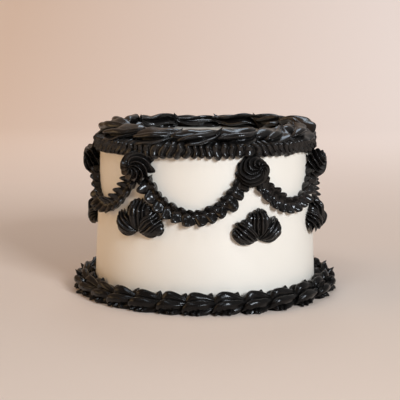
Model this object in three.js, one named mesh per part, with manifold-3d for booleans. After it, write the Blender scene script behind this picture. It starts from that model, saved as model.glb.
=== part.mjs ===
// A tall round buttercream cake of one tier: a smooth cream-coloured coat with near-black piping.
// Shells ring the top and the foot, a ruffle laps over the top edge, and swags hang between
// rosettes on the side, with a three-lobed fleur below each rosette.
//
// Frame: millimetres, +Z up, the origin at the middle of the underside. Azimuth 0 is the front
// of the cake, which faces -Y, and azimuth grows towards +X. All piping strokes run that way.

import * as THREE from 'three';
import { mergeVertices } from 'three/addons/utils/BufferGeometryUtils.js';
import Module from 'manifold-3d';

// ---- Driving dimensions: millimetres, degrees for azimuths ---------------------------------

const TIER_HEIGHT = 113.8;
const TIER_FOOT_RADIUS = 82.9;
const TIER_TOP_RADIUS = 77.4;
const TIER_EDGE_ROUNDING = 1.6;
const TIER_SIDES = 60;

// Pieces that touch keep this gap.
const GAP = 0.3;

// The ruffle lies against the side, just under the top edge, and stands a little above it.
const RUFFLE_WAVES = 80;
const RUFFLE_BOTTOM = 104.8;
const RUFFLE_TOP = 115.4;
const RUFFLE_OUTER_RADIUS = 83.4;
const RUFFLE_WAVE_DEPTH = 1.5;
const RUFFLE_WAVE_DROP = 1.2;
const RUFFLE_BEVEL = 2.1;
const RUFFLE_BATTER = 0.8;

// Heads of the shells that face the front, as they were piped; the rest are spaced evenly.
const TOP_SHELL_COUNT = 13;
const TOP_SHELL_FRONT = [-62, -34, -7.5, 16.5, 39.5, 63];
const TOP_SHELL_RADIUS = 69.2;
const TOP_SHELL_DROOP = 0.12;
const TOP_SHELL = {
  halfWidth: 13.0, halfHeight: 6.0, headLength: 13.2, tailLength: 22, bed: 4.1,
  ridges: 6, sharpness: 1.7, headDepth: 0.17, tailDepth: 0.3, lean: 0.4, twist: -0.9,
  sweep: -6, lift: 3.0, taper: 2.3, headRings: 3, tailRings: 3,
};

const BASE_SHELL_COUNT = 26;
const BASE_SHELL_FRONT = [-53, -40.5, -28.5, -15.5, -4.5, 8, 21, 33.5, 48.5, 64];
const BASE_SHELL_RADIUS = 90.2;
const BASE_SHELL = {
  halfWidth: 8.4, halfHeight: 8.3, headLength: 8.6, tailLength: 17, bed: 6.1,
  ridges: 6, sharpness: 1.7, headDepth: 0.22, tailDepth: 0.3, lean: 0.9, twist: -0.8,
  sweep: 0, lift: 1.2, taper: 1.6, headRings: 2, tailRings: 3,
};

// Rosettes hang the swags; each has its own azimuth and height of middle.
const ROSETTE_AZIMUTHS = [-35.5, 22.9, 75, 140, 206, 271];
const ROSETTE_HEIGHTS = [98.6, 95.9, 95.4, 96.6, 96.2, 96.3];
const ROSETTE_RADIUS = 11.2;
const ROSETTE_DEPTH = 13;
const ROSETTE_RIDGES = 9;
const ROSETTE_SHARPNESS = 1.5;
const ROSETTE_GROOVE = 0.2;
const ROSETTE_SWIRL = 2.6;
const ROSETTE_FACE = 0.6;
const ROSETTE_DOME = 0.75;
const ROSETTE_SHIFT = [2.2, 2];
const ROSETTE_RINGS = [0, 0.26, 0.54, 0.8];
const ROSETTE_TIP = 0.98;

const SWAG_LOW = [66, 70.2, 67, 66.8, 66.4, 67.8];
const SWAG_END_HEIGHT = 91;
const SWAG_END_INSET = 6.2;
const SWAG_HALF_WIDTH = 6.1;
const SWAG_DEPTH = 6.0;
const SWAG_CREASE = 0.45;
const SWAG_RUFFLE = 6.8;
const SWAG_WAVE_WIDTH = 0.7;
const SWAG_WAVE_DEPTH = 1.0;

// Middle and size of each fleur, and the directions and tails of its three lobes, up being 90.
const FLEUR_OFFSETS = [1.3, 3.1, 2, 0.5, -1, -6];
const FLEUR_HEIGHTS = [53.5, 48.6, 47.6, 48.5, 48, 49.5];
const FLEUR_SCALES = [0.97, 1, 1.03, 1, 1, 0.82];
const FLEUR_DIRECTIONS = [146, 92, 33];
const FLEUR_TAILS = [12.9, 14.4, 12.9];
const FLEUR_LOBE = {
  halfWidth: 7.2, halfHeight: 6.6, headLength: 6.7, bed: 3.6,
  ridges: 5, sharpness: 1.35, headDepth: 0.3, tailDepth: 0.24, lean: 1.25, twist: 0.2,
  sweep: 0, lift: -1.2, taper: 1.5, headRings: 2, tailRings: 2,
};

// ---- Materials -----------------------------------------------------------------------------

function creamCoat() {
  return new THREE.MeshStandardMaterial({ color: 0xe9dfcc, roughness: 0.5, metalness: 0 });
}

function blackPiping() {
  return new THREE.MeshStandardMaterial({ color: 0x14110f, roughness: 0.3, metalness: 0 });
}

// ---- Small helpers -------------------------------------------------------------------------

const radians = THREE.MathUtils.degToRad;
const mix = THREE.MathUtils.lerp;

/** A repeatable uneven value from -1 to 1 for one piece and one of its measures. */
function uneven(piece, measure) {
  const mixed = Math.sin(piece * 12.9898 + measure * 78.233) * 43758.5453;
  return 2 * (mixed - Math.floor(mixed)) - 1;
}

/** Height across one piped ridge: 0 in the groove at whole turns, 1 on the crest between. */
function ridge(turns, sharpness) {
  const across = turns - Math.floor(turns);
  return 1 - Math.abs(2 * across - 1) ** sharpness;
}

/** Radius of the coat at a height: the side widens evenly towards the foot. */
function tierRadius(height) {
  return mix(TIER_FOOT_RADIUS, TIER_TOP_RADIUS, height / TIER_HEIGHT);
}

/** The point at an azimuth in radians, a distance from the axis and a height. */
function around(azimuth, radius, height) {
  return new THREE.Vector3(radius * Math.sin(azimuth), -radius * Math.cos(azimuth), height);
}

/** The point on the side of the cake: along it and up from a middle, and proud of the coat. */
function onSide(azimuth, height, along, up, proud) {
  const level = height + up;
  const radius = tierRadius(level);
  return around(azimuth + along / radius, radius + Math.max(proud, GAP), level);
}

/** Azimuths in radians of a ring of strokes: those at the front as given, the rest even. */
function strokeAzimuths(front, count) {
  const last = front[front.length - 1];
  const gaps = count - front.length + 1;
  const pitch = (front[0] + 360 - last) / gaps;
  const rest = Array.from({ length: gaps - 1 }, (_, index) => last + pitch * (index + 1));
  return front.concat(rest).map(radians);
}

/** Closed skin over rings of points, each end drawn together at a single point. */
function loft(rings, first, last) {
  const count = rings[0].length;
  const points = [first, ...rings.flat(), last];
  const faces = [];
  const at = (ring, step) => 1 + ring * count + (step % count);
  for (let step = 0; step < count; step += 1) {
    faces.push(0, at(0, step + 1), at(0, step));
    faces.push(points.length - 1, at(rings.length - 1, step), at(rings.length - 1, step + 1));
  }
  for (let ring = 0; ring + 1 < rings.length; ring += 1) {
    for (let step = 0; step < count; step += 1) {
      faces.push(at(ring, step), at(ring, step + 1), at(ring + 1, step + 1));
      faces.push(at(ring, step), at(ring + 1, step + 1), at(ring + 1, step));
    }
  }
  return facingOut(points, faces);
}

/** Closed skin over rings of points that run once round and meet themselves. */
function loop(rings) {
  const count = rings[0].length;
  const faces = [];
  const at = (ring, step) => (ring % rings.length) * count + (step % count);
  for (let ring = 0; ring < rings.length; ring += 1) {
    for (let step = 0; step < count; step += 1) {
      faces.push(at(ring, step), at(ring, step + 1), at(ring + 1, step + 1));
      faces.push(at(ring, step), at(ring + 1, step + 1), at(ring + 1, step));
    }
  }
  return facingOut(rings.flat(), faces);
}

/** Geometry of a closed skin, with its faces turned outwards. */
function facingOut(points, faces) {
  let volume = 0;
  for (let index = 0; index < faces.length; index += 3) {
    const [a, b, c] = [0, 1, 2].map((corner) => points[faces[index + corner]]);
    volume += a.dot(new THREE.Vector3().crossVectors(b, c));
  }
  const ordered = volume > 0 ? faces : faces.slice().reverse();
  const geometry = new THREE.BufferGeometry().setFromPoints(points);
  geometry.setIndex(ordered);
  return geometry;
}

// ---- Joining and cutting -------------------------------------------------------------------

const wasm = await Module();
wasm.setup();

/** The solid inside a closed geometry. */
function solidOf(geometry) {
  const plain = geometry.clone();
  plain.deleteAttribute('normal');
  plain.deleteAttribute('uv');
  const merged = mergeVertices(plain, 1e-4);
  const vertProperties = new Float32Array(merged.attributes.position.array);
  const triVerts = new Uint32Array(merged.index.array);
  return new wasm.Manifold(new wasm.Mesh({ numProp: 3, vertProperties, triVerts }));
}

/** Geometry of the largest piece of a solid, without the scraps that a cut leaves. */
function geometryOf(solid) {
  const pieces = solid.decompose();
  const largest = pieces.reduce((best, piece) => (piece.volume() > best.volume() ? piece : best));
  const { vertProperties, triVerts } = largest.getMesh();
  const geometry = new THREE.BufferGeometry();
  geometry.setAttribute('position', new THREE.BufferAttribute(vertProperties, 3));
  geometry.setIndex(new THREE.BufferAttribute(triVerts, 1));
  return geometry;
}

/** A ring of strokes in which each head laps over the tail of the stroke before it. */
function lappedRing(count, makeStroke, tools = []) {
  const grown = Array.from({ length: count }, (_, index) => solidOf(makeStroke(index, GAP)));
  return grown.map((_, index) => {
    let solid = solidOf(makeStroke(index, 0)).subtract(grown[(index + 1) % count]);
    tools.forEach((tool) => {
      solid = solid.subtract(tool);
    });
    return geometryOf(solid);
  });
}

// ---- The coated tier -----------------------------------------------------------------------

/** The iced cake itself, uncut and solid. */
function tierGeometry() {
  const outline = [
    new THREE.Vector2(0, 0),
    new THREE.Vector2(TIER_FOOT_RADIUS, 0),
    new THREE.Vector2(tierRadius(TIER_HEIGHT / 2), TIER_HEIGHT / 2),
    new THREE.Vector2(TIER_TOP_RADIUS, TIER_HEIGHT - TIER_EDGE_ROUNDING),
    new THREE.Vector2(TIER_TOP_RADIUS - TIER_EDGE_ROUNDING, TIER_HEIGHT),
    new THREE.Vector2(0, TIER_HEIGHT),
  ];
  return new THREE.LatheGeometry(outline, TIER_SIDES).rotateX(Math.PI / 2);
}

// ---- Star-tip strokes ----------------------------------------------------------------------

/**
 * A point of a piped shell in its own frame: along the stroke from the middle of the head,
 * across it, and up from the bed. Station -1 is the start under the head, 0 its widest part
 * and 1 the end of the tail; turn goes once round the section.
 */
function shellPoint(shape, station, turn, grow) {
  const angle = 2 * Math.PI * turn;
  const depth = mix(shape.headDepth, shape.tailDepth, (station + 1) / 2);
  const crest = ridge(turn * shape.ridges + shape.twist * station, shape.sharpness);
  const swell = 1 - depth * (1 - crest);
  const width = (shape.halfWidth + grow) * swell;
  const height = (shape.halfHeight + grow) * swell;
  if (station < 0) {
    const polar = (1 + station) * Math.PI / 2;
    const lean = -shape.lean * station;
    const back = -Math.cos(polar);
    const rise = Math.sin(polar) * Math.sin(angle);
    return [
      (back * Math.cos(lean) - rise * Math.sin(lean)) * (shape.headLength + grow) * swell,
      Math.sin(polar) * Math.cos(angle) * width,
      (back * Math.sin(lean) + rise * Math.cos(lean)) * height + shape.bed,
    ];
  }
  const taper = Math.cos((Math.PI / 2) * station ** shape.taper);
  return [
    (shape.tailLength + grow) * station,
    Math.cos(angle) * width * taper + shape.sweep * station ** 2,
    Math.sin(angle) * height * taper + shape.bed + shape.lift * station ** 2,
  ];
}

/** A piped shell laid by a placing function that takes its along, across and up. */
function shellGeometry(shape, place, grow) {
  const steps = shape.ridges * 2;
  const stations = [];
  for (let index = 1; index <= shape.headRings; index += 1) {
    stations.push(index / shape.headRings - 1);
  }
  for (let index = 1; index <= shape.tailRings; index += 1) {
    stations.push(index / (shape.tailRings + 0.6));
  }
  const pointAt = (station, turn) => place(...shellPoint(shape, station, turn, grow));
  const rings = stations.map((station) => Array.from(
    { length: steps },
    (_, step) => pointAt(station, step / steps),
  ));
  return loft(rings, pointAt(-1, 0), pointAt(1, 0));
}

/** A shape whose sizes differ a little from stroke to stroke. */
function unevenShape(shape, piece, spread) {
  return {
    ...shape,
    halfWidth: shape.halfWidth * (1 + spread * uneven(piece, 1)),
    halfHeight: shape.halfHeight * (1 + spread * uneven(piece, 2)),
    lift: shape.lift * (1 + 3 * spread * uneven(piece, 3)),
    twist: shape.twist + spread * 4 * uneven(piece, 4),
  };
}

/** A big scroll-like shell on the rim of the top. */
function topShellGeometry(azimuth, piece, grow) {
  const shape = unevenShape(TOP_SHELL, piece, 0.06);
  const bed = TIER_HEIGHT + GAP;
  const place = (along, across, up) => around(
    azimuth + along / TOP_SHELL_RADIUS,
    TOP_SHELL_RADIUS + across,
    Math.max(bed + up - TOP_SHELL_DROOP * across, grow > 0 ? 0 : bed),
  );
  return shellGeometry(shape, place, grow);
}

/** A shell of the border round the foot, lying on its bed against the side. */
function baseShellGeometry(azimuth, piece, grow) {
  const shape = unevenShape(BASE_SHELL, piece, 0.05);
  const place = (along, across, up) => {
    const height = grow > 0 ? up : Math.max(up, 0);
    const radius = BASE_SHELL_RADIUS + across;
    const inner = grow > 0 ? 0 : tierRadius(height) + GAP;
    return around(azimuth + along / BASE_SHELL_RADIUS, Math.max(radius, inner), height);
  };
  return shellGeometry(shape, place, grow);
}

/** Three small shells that fan out from one point, fused where their tails meet. */
function fleurGeometry(azimuth, height, scale, piece) {
  const lobes = FLEUR_DIRECTIONS.map((direction, lobe) => {
    const longer = { ...FLEUR_LOBE, tailLength: FLEUR_TAILS[lobe] };
    const shape = unevenShape(longer, piece * 3 + lobe, 0.06);
    const heading = radians(direction + 5 * uneven(piece, lobe + 6));
    const place = (along, across, proud) => {
      const reach = shape.tailLength - along;
      const x = reach * Math.cos(heading) + across * Math.sin(heading);
      const y = reach * Math.sin(heading) - across * Math.cos(heading);
      return onSide(azimuth, height, x * scale, y * scale, proud * scale);
    };
    return solidOf(shellGeometry(shape, place, 0));
  });
  return geometryOf(lobes[0].add(lobes[1]).add(lobes[2]));
}

// ---- Rosettes ------------------------------------------------------------------------------

/** A swirl piped on the side, its ridges winding in to a middle a little off its centre. */
function rosetteGeometry(azimuth, height, piece, grow) {
  const steps = ROSETTE_RIDGES * 2;
  const radius = ROSETTE_RADIUS * (1 + 0.04 * uneven(piece, 11)) + grow;
  const depth = ROSETTE_DEPTH * (1 + 0.05 * uneven(piece, 12)) + grow;
  const shift = ROSETTE_SHIFT.map((middle, index) => middle + uneven(piece, 13 + index));
  const pointAt = (climb, turn) => {
    const crest = ridge(turn * ROSETTE_RIDGES - ROSETTE_SWIRL * climb, ROSETTE_SHARPNESS);
    const swell = 1 - ROSETTE_GROOVE * (1 - crest);
    const reach = radius * Math.cos(climb * Math.PI / 2) ** ROSETTE_FACE * swell;
    const proud = depth * Math.sin(climb * Math.PI / 2) ** ROSETTE_DOME * swell;
    const angle = 2 * Math.PI * turn;
    const x = reach * Math.cos(angle) + shift[0] * climb ** 2;
    const y = reach * Math.sin(angle) + shift[1] * climb ** 2;
    return onSide(azimuth, height, x, y, proud);
  };
  const rings = ROSETTE_RINGS.map((climb) => Array.from(
    { length: steps },
    (_, step) => pointAt(climb, step / steps),
  ));
  const back = grow > 0 ? around(azimuth, TIER_TOP_RADIUS / 2, height)
    : onSide(azimuth, height, 0, 0, GAP);
  return loft(rings, back, pointAt(ROSETTE_TIP, 0));
}

// ---- Swags ---------------------------------------------------------------------------------

/** Middle line of a swag: azimuth in radians and height at a place from -1 to 1. */
function swagLine(start, end, low, place) {
  const azimuth = mix(start, end, (place + 1) / 2);
  const rise = 0.75 * place ** 2 + 0.25 * place ** 4;
  return [azimuth, mix(low, SWAG_END_HEIGHT, rise)];
}

/** Length along the middle line of a swag, in small straight steps. */
function swagLength(start, end, low) {
  const steps = 48;
  let length = 0;
  for (let step = 0; step < steps; step += 1) {
    const [fromAzimuth, fromHeight] = swagLine(start, end, low, (2 * step) / steps - 1);
    const [toAzimuth, toHeight] = swagLine(start, end, low, (2 * (step + 1)) / steps - 1);
    const run = (toAzimuth - fromAzimuth) * tierRadius(fromHeight);
    length += Math.hypot(run, toHeight - fromHeight);
  }
  return length;
}

/** A garland of leaf-tip ruffles with a crease along its middle, hung between two rosettes. */
function swagGeometry(start, end, low, piece) {
  const ruffles = Math.round(swagLength(start, end, low) / SWAG_RUFFLE);
  const steps = ruffles * 2;
  const ringAt = (step) => {
    const place = (2 * step) / steps - 1;
    const [azimuth, height] = swagLine(start, end, low, place);
    const [nextAzimuth, nextHeight] = swagLine(start, end, low, place + 0.01);
    const run = (nextAzimuth - azimuth) * tierRadius(height);
    const slope = Math.atan2(nextHeight - height, run);
    const wave = step % 2 === 0 ? -1 : 1;
    const fullness = 1 + 0.1 * uneven(piece * 40 + step, 15);
    const halfWidth = (SWAG_HALF_WIDTH + SWAG_WAVE_WIDTH * wave) * fullness;
    const hump = (SWAG_DEPTH + SWAG_WAVE_DEPTH * wave) * fullness;
    const section = [[-1, 0], [-0.6, hump], [0, hump * SWAG_CREASE], [0.6, hump * 0.9], [0.95, 0]];
    return section.map(([across, proud]) => onSide(
      azimuth,
      height,
      -across * halfWidth * Math.sin(slope),
      across * halfWidth * Math.cos(slope),
      proud,
    ));
  };
  const rings = Array.from({ length: steps + 1 }, (_, step) => ringAt(step));
  const endAt = (place) => {
    const [azimuth, height] = swagLine(start, end, low, place);
    return onSide(azimuth, height, 0, 0, SWAG_DEPTH / 3);
  };
  return loft(rings, endAt(-1.03), endAt(1.03));
}

// ---- Ruffle under the top edge -------------------------------------------------------------

/** The ruffle: a close zigzag of piping that runs right round under the top edge. */
function ruffleGeometry() {
  const steps = RUFFLE_WAVES * 2;
  const rings = Array.from({ length: steps }, (_, step) => {
    const azimuth = (2 * Math.PI * step) / steps;
    const wave = step % 2 === 0 ? 1 : 0;
    const fullness = 1 + 0.35 * uneven(step, 21);
    const outer = RUFFLE_OUTER_RADIUS - RUFFLE_WAVE_DEPTH * (1 - wave) * fullness;
    const bottom = RUFFLE_BOTTOM + RUFFLE_WAVE_DROP * (1 - wave) * fullness;
    const inner = tierRadius(RUFFLE_BOTTOM) + GAP;
    return [
      around(azimuth, inner, bottom),
      around(azimuth, outer, bottom + RUFFLE_BEVEL),
      around(azimuth, outer - RUFFLE_BATTER, RUFFLE_TOP - RUFFLE_BEVEL),
      around(azimuth, inner, RUFFLE_TOP),
    ];
  });
  return loop(rings);
}

/** Room that the shells on top leave for the ruffle under their outer edge. */
function ruffleRoom() {
  const inner = tierRadius(RUFFLE_BOTTOM);
  const outer = RUFFLE_OUTER_RADIUS + RUFFLE_BEVEL;
  const bottom = RUFFLE_BOTTOM - RUFFLE_BEVEL;
  const outline = [
    new THREE.Vector2(inner, bottom),
    new THREE.Vector2(outer, bottom),
    new THREE.Vector2(outer, RUFFLE_TOP - RUFFLE_BEVEL + GAP),
    new THREE.Vector2(inner, RUFFLE_TOP + GAP),
    new THREE.Vector2(inner, bottom),
  ];
  return new THREE.LatheGeometry(outline, TIER_SIDES).rotateX(Math.PI / 2);
}

// ---- The whole cake ------------------------------------------------------------------------

const cake = new THREE.Group();

/** Adds one named piece to the cake. */
function addPiece(name, geometry, material) {
  const mesh = new THREE.Mesh(geometry, material);
  mesh.name = name;
  cake.add(mesh);
}

/** A name for one of a family of pieces, numbered from 01. */
function numbered(family, index) {
  return `${family}_${String(index + 1).padStart(2, '0')}`;
}

const topAzimuths = strokeAzimuths(TOP_SHELL_FRONT, TOP_SHELL_COUNT);
const baseAzimuths = strokeAzimuths(BASE_SHELL_FRONT, BASE_SHELL_COUNT);
const rosetteAzimuths = ROSETTE_AZIMUTHS.map(radians);

const topShells = lappedRing(
  TOP_SHELL_COUNT,
  (index, grow) => topShellGeometry(topAzimuths[index], index + 1, grow),
  [solidOf(ruffleRoom())],
);
const baseShells = lappedRing(
  BASE_SHELL_COUNT,
  (index, grow) => baseShellGeometry(baseAzimuths[index], index + 101, grow),
);
const rosetteRooms = rosetteAzimuths.map(
  (azimuth, index) => solidOf(rosetteGeometry(azimuth, ROSETTE_HEIGHTS[index], index, GAP)),
);

addPiece('cake_body', tierGeometry(), creamCoat());

const ruffle = rosetteRooms.reduce((solid, room) => solid.subtract(room), solidOf(ruffleGeometry()));
addPiece('top_ruffle', geometryOf(ruffle), blackPiping());

topShells.forEach((geometry, index) => {
  addPiece(numbered('top_shell', index), geometry, blackPiping());
});
baseShells.forEach((geometry, index) => {
  addPiece(numbered('base_shell', index), geometry, blackPiping());
});

rosetteAzimuths.forEach((azimuth, index) => {
  const following = (index + 1) % rosetteAzimuths.length;
  const turn = following === 0 ? 2 * Math.PI : 0;
  const inset = SWAG_END_INSET / TIER_TOP_RADIUS;
  const start = azimuth + inset;
  const end = rosetteAzimuths[following] + turn - inset;
  const swag = solidOf(swagGeometry(start, end, SWAG_LOW[index], index))
    .subtract(rosetteRooms[index])
    .subtract(rosetteRooms[following]);
  const rosette = rosetteGeometry(azimuth, ROSETTE_HEIGHTS[index], index, 0);
  const fleurAzimuth = azimuth + radians(FLEUR_OFFSETS[index]);
  addPiece(numbered('rosette', index), rosette, blackPiping());
  addPiece(numbered('swag', index), geometryOf(swag), blackPiping());
  addPiece(
    numbered('fleur', index),
    fleurGeometry(fleurAzimuth, FLEUR_HEIGHTS[index], FLEUR_SCALES[index], index),
    blackPiping(),
  );
});

export default cake;
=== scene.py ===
"""A tall buttercream cake with near-black piping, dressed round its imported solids.

Lengths in the dataclasses are millimetres and angles are degrees unless a name says otherwise;
meshes are made in metres. Azimuth 0 is the front of the cake, which faces -Y, and azimuth grows
towards +X, the way that all piping strokes run. The origin is the middle of the underside.
"""

from __future__ import annotations

import logging
import math
from dataclasses import dataclass, replace
from enum import Enum
from typing import Callable, Iterable, Sequence

import bpy
import numpy as np
from bpy.types import Material, Node, NodeSocket, NodeTree, Object
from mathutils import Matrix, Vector


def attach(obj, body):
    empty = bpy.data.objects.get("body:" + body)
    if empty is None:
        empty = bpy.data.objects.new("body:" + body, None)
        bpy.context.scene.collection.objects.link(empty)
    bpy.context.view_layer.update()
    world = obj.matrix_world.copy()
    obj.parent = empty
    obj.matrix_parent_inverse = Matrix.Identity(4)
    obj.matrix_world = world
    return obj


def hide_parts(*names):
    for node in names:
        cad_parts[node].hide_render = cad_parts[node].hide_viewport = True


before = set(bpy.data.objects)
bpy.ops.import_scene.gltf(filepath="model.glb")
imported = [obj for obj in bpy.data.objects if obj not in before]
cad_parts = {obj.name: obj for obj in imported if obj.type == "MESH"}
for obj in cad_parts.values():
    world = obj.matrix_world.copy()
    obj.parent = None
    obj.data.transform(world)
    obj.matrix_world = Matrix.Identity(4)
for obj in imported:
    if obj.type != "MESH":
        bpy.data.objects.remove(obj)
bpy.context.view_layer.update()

LOG = logging.getLogger("cake")
METRE = 0.001
TURN = 2 * math.pi
STROKE_MARKS = "stroke"
PIECE_STEP = 12.9898
MEASURE_STEP = 78.233
SCATTER = 43758.5453
THIRD_WAVE = 0.6
Array = np.ndarray
Floats = tuple[float, ...]
Range = tuple[float, float]
Colour = tuple[float, float, float]
Place = Callable[[Array, Array, Array], Array]


class Slot(Enum):
    """Material slots of the record."""

    COAT = "cream_coat"
    PIPING = "black_piping"


# ---- Uneven values and profiles

def uneven(piece: float | Array, measure: float | Array) -> Array:
    """Repeatable uneven value from -1 to 1 for a piece and one of its measures, by number."""
    mixed = np.sin(np.asarray(piece) * PIECE_STEP + np.asarray(measure) * MEASURE_STEP) * SCATTER
    return 2 * (mixed - np.floor(mixed)) - 1


def phases(ridges: int, columns: int) -> Array:
    """Places across some ridges, as one row with so many columns a ridge."""
    return (np.arange(ridges * columns) / columns)[None, :]


def ridge(phase: Array, roundness: float, skew: float = 1.0) -> Array:
    """Height across ridges, 0 in grooves at whole phases; roundness 1 is a knife edge, 2 a lobe."""
    across = (phase - np.floor(phase)) ** skew
    return 1 - np.abs(2 * across - 1) ** roundness


def smooth_step(low: float, high: float, value: Array) -> Array:
    """Smooth rise from 0 at low to 1 at high."""
    share = np.clip((value - low) / (high - low), 0, 1)
    return share * share * (3 - 2 * share)


def mix(start: float, end: float, share: Array) -> Array:
    """The value a share of the way from start to end."""
    return start + (end - start) * share


def wobble(along: Array, across: Array, up: Array, piece: int, length: float) -> Array:
    """Soft unevenness of hand-piped cream.

    Args:
        along: Places along the stroke.
        across: Places across it.
        up: Heights over its bed.
        piece: Number of the piece, which sets where the waves lie.
        length: Length of the waves.

    Returns:
        Values of about -1 to 1 at those places.
    """
    shift = [TURN * float(uneven(piece, 51 + index)) for index in range(3)]
    scale = TURN / length
    first = np.sin(scale * (along + 0.6 * across) + shift[0])
    second = np.sin(scale * 1.37 * (across - 0.5 * up + 0.3 * along) + shift[1])
    third = np.sin(scale * 1.9 * (up + 0.7 * along - 0.4 * across) + shift[2])
    return (first + second + THIRD_WAVE * third) / (2 + THIRD_WAVE)


# ---- Skins: closed surfaces in millimetres

@dataclass
class Skin:
    """A closed surface: points, faces, and at each point its place along, around and on a crest."""

    points: Array
    faces: list[Array]
    marks: Array


def ring_faces(rings: int, count: int, closed: bool) -> Array:
    """Quads between neighbouring rings.

    Args:
        rings: How many rings there are.
        count: Points of a ring.
        closed: Whether the last ring joins the first.

    Returns:
        The four corners of each quad.
    """
    ring = np.arange(rings if closed else rings - 1)[:, None]
    step = np.arange(count)[None, :]
    here = ring * count
    beyond = (ring + 1) % rings * count
    following = (step + 1) % count
    corners = [here + step, here + following, beyond + following, beyond + step]
    return np.stack(corners, axis=-1).reshape(-1, 4)


def lofted(rings: Array, first: Array, last: Array, marks: Array) -> Skin:
    """Skin over rings of points, each end drawn together at one point.

    Args:
        rings: Points of the rings, shaped (rings, points, 3).
        first: The point that closes the first ring.
        last: The point that closes the last ring.
        marks: The marks of the rings' points.

    Returns:
        The closed skin.
    """
    count, size = rings.shape[:2]
    points = np.concatenate([rings.reshape(-1, 3), np.stack([first, last])])
    poles = np.stack([marks[0].mean(axis=0), marks[-1].mean(axis=0)])
    step = np.arange(size)
    following = (step + 1) % size
    end = (count - 1) * size
    start_fan = np.stack([np.full(size, count * size), following, step], axis=-1)
    end_fan = np.stack([np.full(size, count * size + 1), end + step, end + following], axis=-1)
    faces = [ring_faces(count, size, False), start_fan, end_fan]
    return Skin(points, faces, np.concatenate([marks.reshape(-1, 3), poles]))


def looped(rings: Array, marks: Array) -> Skin:
    """Closed skin over rings of marked points that run once round and meet themselves."""
    faces = [ring_faces(*rings.shape[:2], True)]
    return Skin(rings.reshape(-1, 3), faces, marks.reshape(-1, 3))


def volume(skin: Skin) -> float:
    """Signed volume of a skin, which is positive where its faces look outwards."""
    total = 0.0
    for faces in skin.faces:
        corners = skin.points[faces]
        for index in range(1, faces.shape[1] - 1):
            cross = np.cross(corners[:, index], corners[:, index + 1])
            total += float(np.einsum("ij,ij->", corners[:, 0], cross))
    return total / 6


def stack_marks(along: Array, around: Array, crest: Array) -> Array:
    """The three marks of each point, with one shape."""
    return np.stack(np.broadcast_arrays(along, around, crest), axis=-1)


def new_object(name: str, points: Array, faces: list[Sequence[int]], material: Material) -> Object:
    """A smooth mesh object in the scene.

    Args:
        name: Its name.
        points: Its points, in metres.
        faces: The corners of each face.
        material: Its finish.

    Returns:
        The object.
    """
    mesh = bpy.data.meshes.new(name)
    mesh.from_pydata(points.tolist(), [], faces)
    mesh.polygons.foreach_set("use_smooth", np.ones(len(faces), dtype=bool))
    mesh.materials.append(material)
    thing = bpy.data.objects.new(name, mesh)
    bpy.context.scene.collection.objects.link(thing)
    return thing


def make_piece(name: str, skins: Sequence[Skin], material: Material, slot: Slot) -> None:
    """One visible piece, riding on the cake, that stands for the solid of the same name.

    Args:
        name: Name of the solid.
        skins: Its closed skins.
        material: Its finish.
        slot: The record's slot of that finish; not used.
    """
    faces: list[Sequence[int]] = []
    offset = 0
    for skin in skins:
        turned = volume(skin) < 0
        for group in skin.faces:
            ordered = group[:, ::-1] if turned else group
            faces.extend((ordered + offset).tolist())
        offset += len(skin.points)
    points = np.concatenate([skin.points for skin in skins]) * METRE
    marks = np.concatenate([skin.marks for skin in skins]).astype(np.float32)
    piece = new_object(f"{name}.look", points, faces, material)
    stroke = piece.data.attributes.new(STROKE_MARKS, "FLOAT_VECTOR", "POINT")
    stroke.data.foreach_set("vector", marks.ravel())
    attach(piece, "root")
    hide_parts(name)
    LOG.info("%s: %d points, %d faces", piece.name, len(points), len(faces))


def make_family(family: str, pieces: Iterable[Sequence[Skin]], material: Material) -> None:
    """The pieces of a piped family of solids that are numbered from 01, from the skins of each."""
    for number, skins in enumerate(pieces, 1):
        make_piece(f"{family}_{number:02d}", skins, material, Slot.PIPING)


# ---- The tier and its side

def around_axis(azimuth: Array, radius: Array, height: Array) -> Array:
    """Points at azimuths in radians, distances from the axis and heights."""
    parts = np.broadcast_arrays(radius * np.sin(azimuth), -radius * np.cos(azimuth), height)
    return np.stack(parts, axis=-1)


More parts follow.
